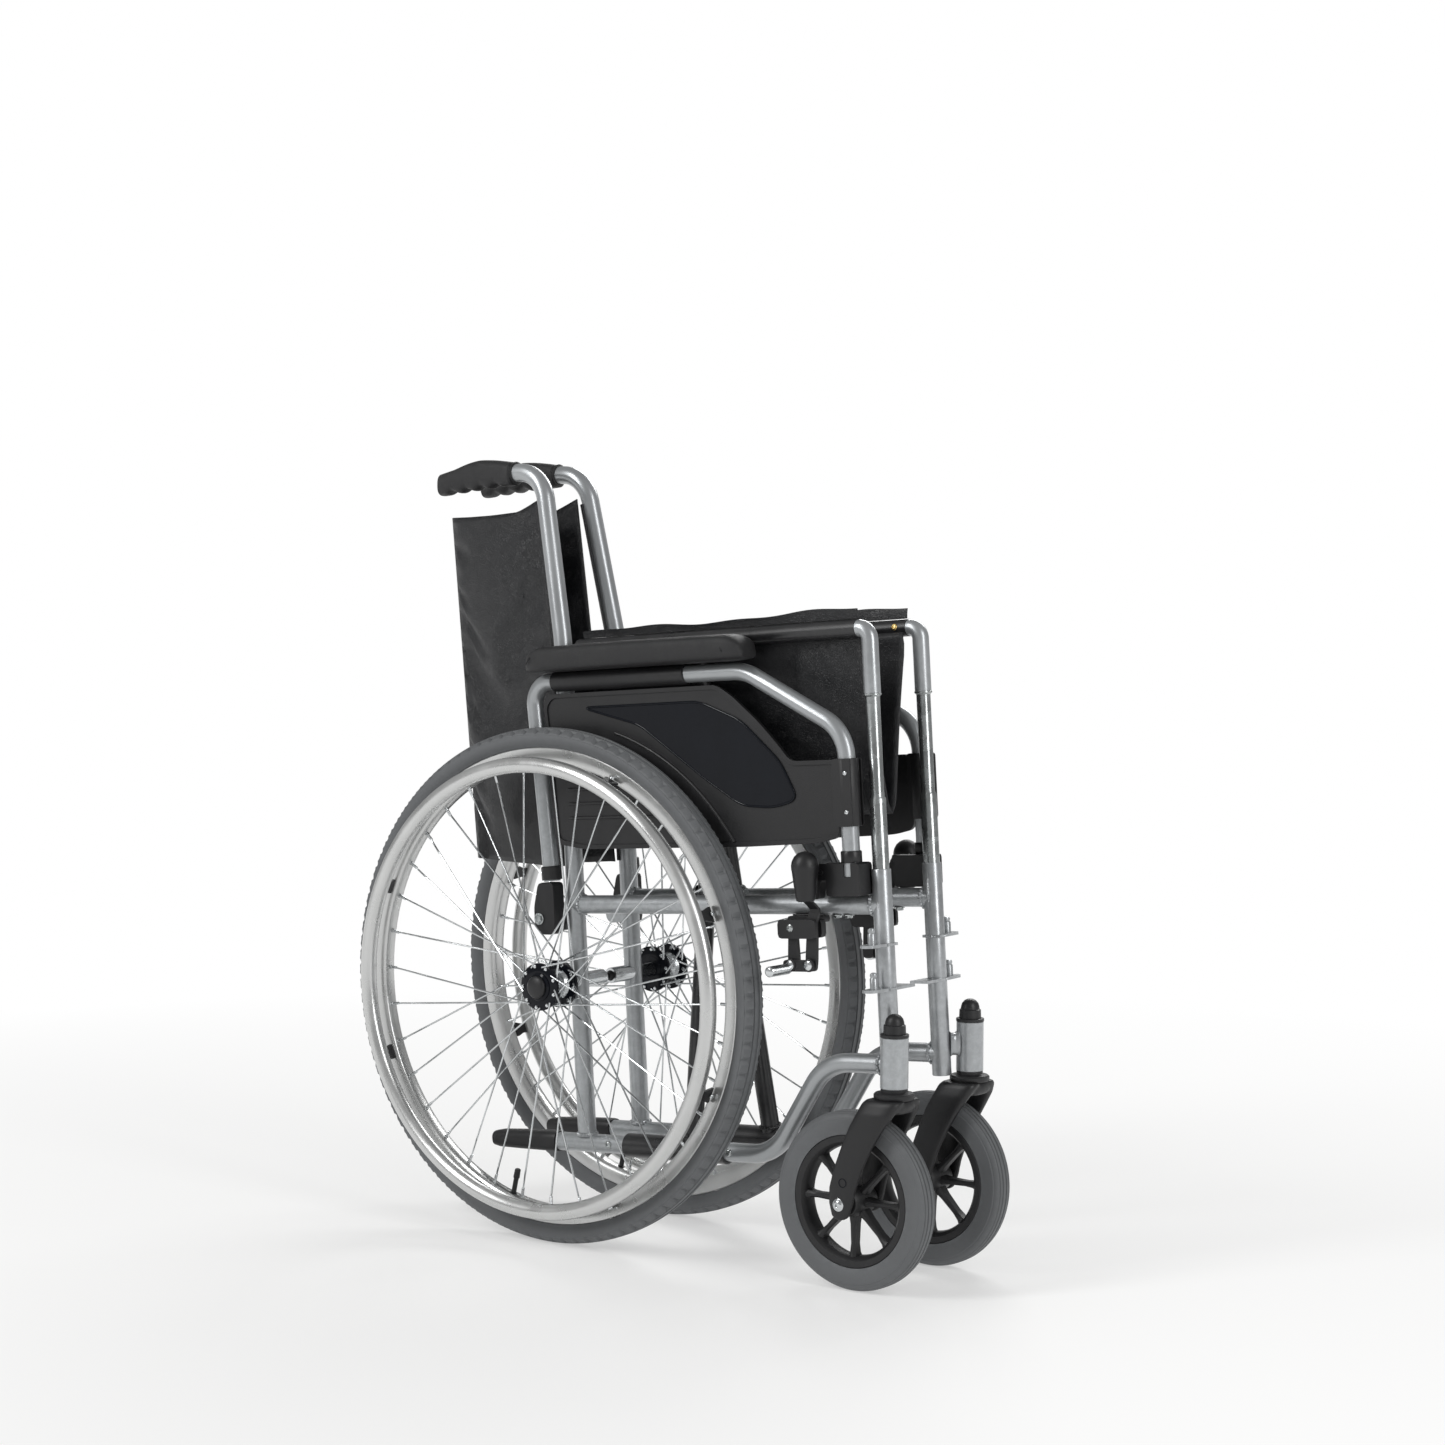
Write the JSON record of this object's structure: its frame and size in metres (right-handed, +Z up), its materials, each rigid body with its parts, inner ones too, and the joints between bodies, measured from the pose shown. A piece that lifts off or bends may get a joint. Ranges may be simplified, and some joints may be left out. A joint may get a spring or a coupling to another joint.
{
  "type": "folding manual wheelchair",
  "caption": "Folding self-propelled wheelchair, folded: cross brace, seat and back slings, flip-back arms, hand rims, swivel casters and lever brakes.",
  "frame": {"origin": "on the floor, under the middle of the folded chair box", "axes": "+X forwards, +Y to the chair's left, +Z up"},
  "size_m": [0.826, 0.2964, 0.9295],
  "materials": {
    "silver_paint": "satin silver paint",
    "black_paint": "satin black powder coat",
    "zinc": "zinc plated, slightly mottled",
    "aluminium": "satin anodised",
    "black_plastic": "moulded, fine grain",
    "soft_grip": "soft moulded, fine grain",
    "grey_tyre": "grey rubber",
    "vinyl": "black grained vinyl over cloth"
  },
  "bodies": {
    "right_frame": {"right_back_post": "silver_paint", "right_upper_rail": "silver_paint", "right_lower_rail": "silver_paint", "right_tip_foot": "black_plastic", "right_push_grip": "soft_grip", "right_front_post": "silver_paint", "right_axle": "black_plastic", "right_arm_catch": "black_plastic", "right_brake_housing": "black_plastic"},
    "right_wheel": {"right_tyre": "grey_tyre", "right_rim": "aluminium", "right_handrim": "aluminium", "right_hub": "zinc"},
    "right_caster": {"right_caster_fork": "black_plastic"},
    "right_caster_wheel": {"right_caster_tyre": "grey_tyre", "right_caster_wheel": "black_plastic"},
    "right_armrest": {"right_arm_tube": "silver_paint", "right_arm_pad": "soft_grip", "right_side_panel": "black_plastic", "right_arm_socket": "black_plastic"},
    "right_latch": {"right_arm_latch": "black_plastic"},
    "right_brake_lever": {"right_brake_lever": "black_plastic"},
    "right_brake_link": {"right_brake_link": "black_plastic"},
    "right_brake_shoe": {"right_brake_shoe": "zinc"},
    "right_guide": {"right_guide_tube": "zinc"},
    "right_seat_half": {"right_seat_sling": "vinyl"},
    "right_back_half": {"right_back_sling": "vinyl"},
    "left_frame": {"left_back_post": "silver_paint", "left_upper_rail": "silver_paint", "left_lower_rail": "silver_paint", "left_tip_foot": "black_plastic", "left_push_grip": "soft_grip", "left_front_post": "silver_paint", "left_axle": "black_plastic", "left_arm_catch": "black_plastic", "left_brake_housing": "black_plastic"},
    "left_wheel": {"left_tyre": "grey_tyre", "left_rim": "aluminium", "left_handrim": "aluminium", "left_hub": "zinc"},
    "left_caster": {"left_caster_fork": "black_plastic"},
    "left_caster_wheel": {"left_caster_tyre": "grey_tyre", "left_caster_wheel": "black_plastic"},
    "left_armrest": {"left_arm_tube": "silver_paint", "left_arm_pad": "soft_grip", "left_side_panel": "black_plastic", "left_arm_socket": "black_plastic"},
    "left_latch": {"left_arm_latch": "black_plastic"},
    "left_brake_lever": {"left_brake_lever": "black_plastic"},
    "left_brake_link": {"left_brake_link": "black_plastic"},
    "left_brake_shoe": {"left_brake_shoe": "zinc"},
    "left_guide": {"left_guide_tube": "zinc"},
    "left_seat_half": {"left_seat_sling": "vinyl"},
    "left_back_half": {"left_back_sling": "vinyl"},
    "right_cross": {"right_brace": "black_paint", "left_seat_rail": "black_paint", "cross_bolt": "zinc"},
    "left_cross": {"left_brace": "black_paint", "right_seat_rail": "black_paint"}
  },
  "joints": [
    {"name": "fold", "type": "hinge", "parent": "right_frame", "child": "right_cross", "pos_m": [0.0651, -0.051, 0.12206], "axis": [-0.9977, 0, -0.068], "range_deg": [0, 38]},
    {"name": "cross_pivot", "type": "hinge", "parent": "right_cross", "child": "left_cross", "pos_m": [0.06492, 0, 0.41873], "axis": [0.9977, 0, 0.068], "range_deg": [0, 76.5]},
    {"name": "left_frame_hinge", "type": "hinge", "parent": "left_cross", "child": "left_frame", "pos_m": [0.10501, 0.051, 0.12478], "axis": [-0.9977, 0, -0.068], "range_deg": [0, 38.5]},
    {"name": "right_guide_hinge", "type": "hinge", "parent": "left_cross", "child": "right_guide", "pos_m": [0.29321, -0.051, 0.73098], "axis": [-0.9977, 0, -0.068], "range_deg": [0, 38.5]},
    {"name": "left_guide_hinge", "type": "hinge", "parent": "right_cross", "child": "left_guide", "pos_m": [0.29321, 0.051, 0.73098], "axis": [0.9977, 0, 0.068], "range_deg": [0, 38.5]},
    {"name": "right_seat_hinge", "type": "hinge", "parent": "left_cross", "child": "right_seat_half", "pos_m": [0.09367, -0.051, 0.71738], "axis": [0.9977, 0, 0.068], "range_deg": [0, 39.04], "deforming": ["right_seat_sling"]},
    {"name": "seat_crease", "type": "hinge", "parent": "right_seat_half", "child": "left_seat_half", "pos_m": [0.1084, 0, 0.50141], "axis": [-0.9977, 0, -0.068], "range_deg": [0, 153.99], "deforming": ["left_seat_sling"]},
    {"name": "right_back_hinge", "type": "hinge", "parent": "right_frame", "child": "right_back_half", "pos_m": [-0.1164, -0.051, 0.44], "axis": [0.1207, -0.0208, -0.9925], "range_deg": [0, 78], "deforming": ["right_back_sling"]},
    {"name": "back_crease", "type": "hinge", "parent": "right_back_half", "child": "left_back_half", "pos_m": [-0.33287, 0, 0.44], "axis": [-0.1044, 0, 0.9945], "range_deg": [0, 155.9], "deforming": ["left_back_sling"]},
    {"name": "right_wheel_spin", "type": "hinge", "parent": "right_frame", "child": "right_wheel", "pos_m": [-0.108, -0.102, 0.305], "axis": [0, 1, 0], "continuous": true},
    {"name": "right_caster_swivel", "type": "hinge", "parent": "right_frame", "child": "right_caster", "pos_m": [0.3626, -0.077, 0.229], "axis": [0, 0, 1], "range_deg": [-20, 180]},
    {"name": "right_caster_spin", "type": "hinge", "parent": "right_caster", "child": "right_caster_wheel", "pos_m": [0.313, -0.077, 0.1], "axis": [0, 1, 0], "continuous": true},
    {"name": "right_armrest_flip", "type": "hinge", "parent": "right_frame", "child": "right_armrest", "pos_m": [-0.14229, -0.074, 0.37955], "axis": [0, -1, 0], "range_deg": [0, 100]},
    {"name": "right_latch_press", "type": "hinge", "parent": "right_frame", "child": "right_latch", "pos_m": [0.26754, -0.074, 0.46061], "axis": [0, -1, 0], "range_deg": [0, 20], "stiffness_Nm_per_rad": 0.3},
    {"name": "right_brake", "type": "hinge", "parent": "right_frame", "child": "right_brake_lever", "pos_m": [0.24988, -0.074, 0.39626], "axis": [0, 1, 0], "range_deg": [0, 30.8]},
    {"name": "right_brake_link_hinge", "type": "hinge", "parent": "right_frame", "child": "right_brake_link", "pos_m": [0.22493, -0.074, 0.39456], "axis": [0, 1, 0], "range_deg": [0, 31.3]},
    {"name": "right_brake_shoe_hinge", "type": "hinge", "parent": "right_brake_lever", "child": "right_brake_shoe", "pos_m": [0.24967, -0.074, 0.35515], "axis": [0, 1, 0], "range_deg": [-31.3, 0]},
    {"name": "left_wheel_spin", "type": "hinge", "parent": "left_frame", "child": "left_wheel", "pos_m": [-0.108, 0.102, 0.305], "axis": [0, 1, 0], "continuous": true},
    {"name": "left_caster_swivel", "type": "hinge", "parent": "left_frame", "child": "left_caster", "pos_m": [0.3626, 0.077, 0.229], "axis": [0, 0, -1], "range_deg": [-20, 180]},
    {"name": "left_caster_spin", "type": "hinge", "parent": "left_caster", "child": "left_caster_wheel", "pos_m": [0.313, 0.077, 0.1], "axis": [0, 1, 0], "continuous": true},
    {"name": "left_armrest_flip", "type": "hinge", "parent": "left_frame", "child": "left_armrest", "pos_m": [-0.14229, 0.074, 0.37955], "axis": [0, -1, 0], "range_deg": [0, 100]},
    {"name": "left_latch_press", "type": "hinge", "parent": "left_frame", "child": "left_latch", "pos_m": [0.26754, 0.074, 0.46061], "axis": [0, -1, 0], "range_deg": [0, 20], "stiffness_Nm_per_rad": 0.3},
    {"name": "left_brake", "type": "hinge", "parent": "left_frame", "child": "left_brake_lever", "pos_m": [0.24988, 0.074, 0.39626], "axis": [0, 1, 0], "range_deg": [0, 30.8]},
    {"name": "left_brake_link_hinge", "type": "hinge", "parent": "left_frame", "child": "left_brake_link", "pos_m": [0.22493, 0.074, 0.39456], "axis": [0, 1, 0], "range_deg": [0, 31.3]},
    {"name": "left_brake_shoe_hinge", "type": "hinge", "parent": "left_brake_lever", "child": "left_brake_shoe", "pos_m": [0.24967, 0.074, 0.35515], "axis": [0, 1, 0], "range_deg": [-31.3, 0]}
  ],
  "couplings": [
    {"joint": "cross_pivot", "follows": "fold", "ratio": 2},
    {"joint": "left_frame_hinge", "follows": "fold", "ratio": 1},
    {"joint": "right_guide_hinge", "follows": "fold", "ratio": 1},
    {"joint": "left_guide_hinge", "follows": "fold", "ratio": 1},
    {"joint": "right_seat_hinge", "follows": "fold", "ratio": 1.0196},
    {"joint": "seat_crease", "follows": "fold", "ratio": 4.0391},
    {"joint": "right_back_hinge", "follows": "fold", "ratio": 2.0447},
    {"joint": "back_crease", "follows": "fold", "ratio": 4.0895},
    {"joint": "right_brake_link_hinge", "follows": "right_brake", "ratio": 1},
    {"joint": "right_brake_shoe_hinge", "follows": "right_brake", "ratio": -1},
    {"joint": "left_brake_link_hinge", "follows": "left_brake", "ratio": 1},
    {"joint": "left_brake_shoe_hinge", "follows": "left_brake", "ratio": -1}
  ]
}
